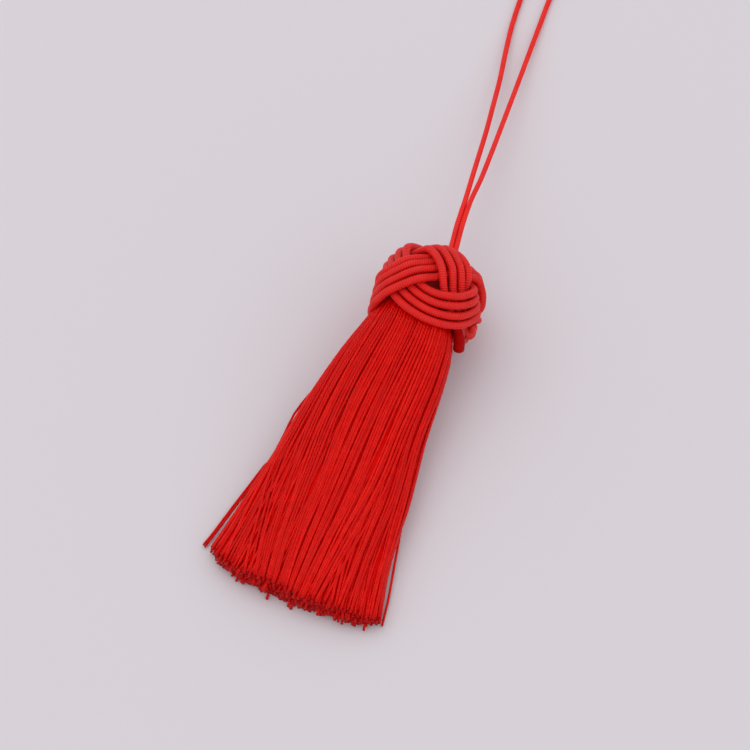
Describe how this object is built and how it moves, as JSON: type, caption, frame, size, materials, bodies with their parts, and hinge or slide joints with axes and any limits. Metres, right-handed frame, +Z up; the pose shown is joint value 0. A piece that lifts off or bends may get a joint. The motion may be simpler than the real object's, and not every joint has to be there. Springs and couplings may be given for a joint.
{
  "type": "silk tassel",
  "caption": "Small tassel with a full skirt of silk strands, a round head woven from wrapped cord and a thin hanging loop, lying flat.",
  "frame": {"origin": "middle of the base of the head and skirt, on the surface that the tassel lies on", "axes": "+Y from the cut hem towards the hanging loop, +Z up, +X across the skirt"},
  "size_m": [0.0368, 0.1632, 0.0223],
  "materials": {
    "silk": "soft sheen",
    "wrapped_cord": "satin",
    "loop_cord": "satin"
  },
  "bodies": {
    "root": {"tassel_skirt": "silk", "knot_head": "wrapped_cord", "hanging_loop": "loop_cord"}
  },
  "joints": []
}
